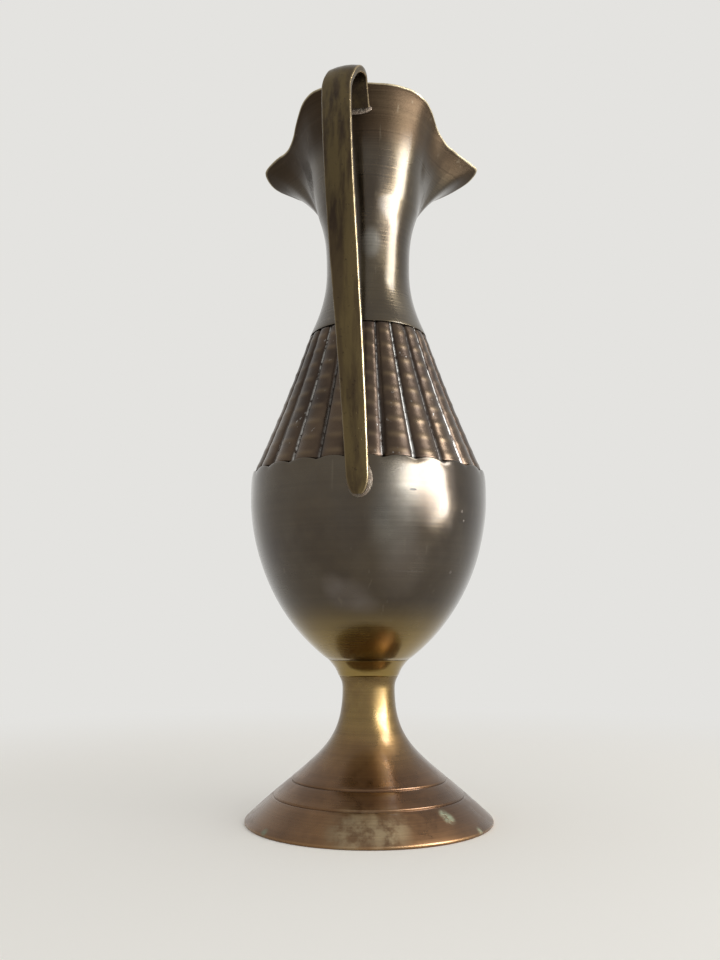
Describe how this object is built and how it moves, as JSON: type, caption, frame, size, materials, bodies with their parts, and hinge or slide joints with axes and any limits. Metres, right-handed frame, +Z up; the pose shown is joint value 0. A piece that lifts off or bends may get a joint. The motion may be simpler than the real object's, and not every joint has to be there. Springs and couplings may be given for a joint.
{
  "type": "footed jug",
  "caption": "Tall footed brass jug with a hollow trumpet foot, egg-shaped bowl, ribbed shoulder, flared lobed mouth and a soldered strap handle.",
  "frame": {"origin": "middle of the circle that the foot's base rim stands on", "axes": "+Z up along the turned axis, -Y towards the handle, +Y towards the spout, +X to the right seen from the handle"},
  "size_m": [0.0814, 0.0991, 0.2428],
  "materials": {
    "body_brass": "worn polish with fine turning lines and a grey-olive patina",
    "shoulder_brass": "dark patina in the valleys of the ribs, pale polish residue",
    "foot_brass": "warm golden brown, turned, with dull and green spots",
    "handle_brass": "olive brown cast brass, hand filed, bright along its edges",
    "solder": "dull grey-white soft solder"
  },
  "bodies": {
    "root": {"foot": "foot_brass", "stem_collar": "body_brass", "joining_peg": "handle_brass", "bowl": "body_brass", "ribbed_shoulder": "shoulder_brass", "neck_and_mouth": "body_brass", "handle": "handle_brass", "handle_foot_solder": "solder", "handle_top_solder": "solder", "bowl_joint_solder": "solder", "neck_joint_solder": "solder"}
  },
  "joints": []
}
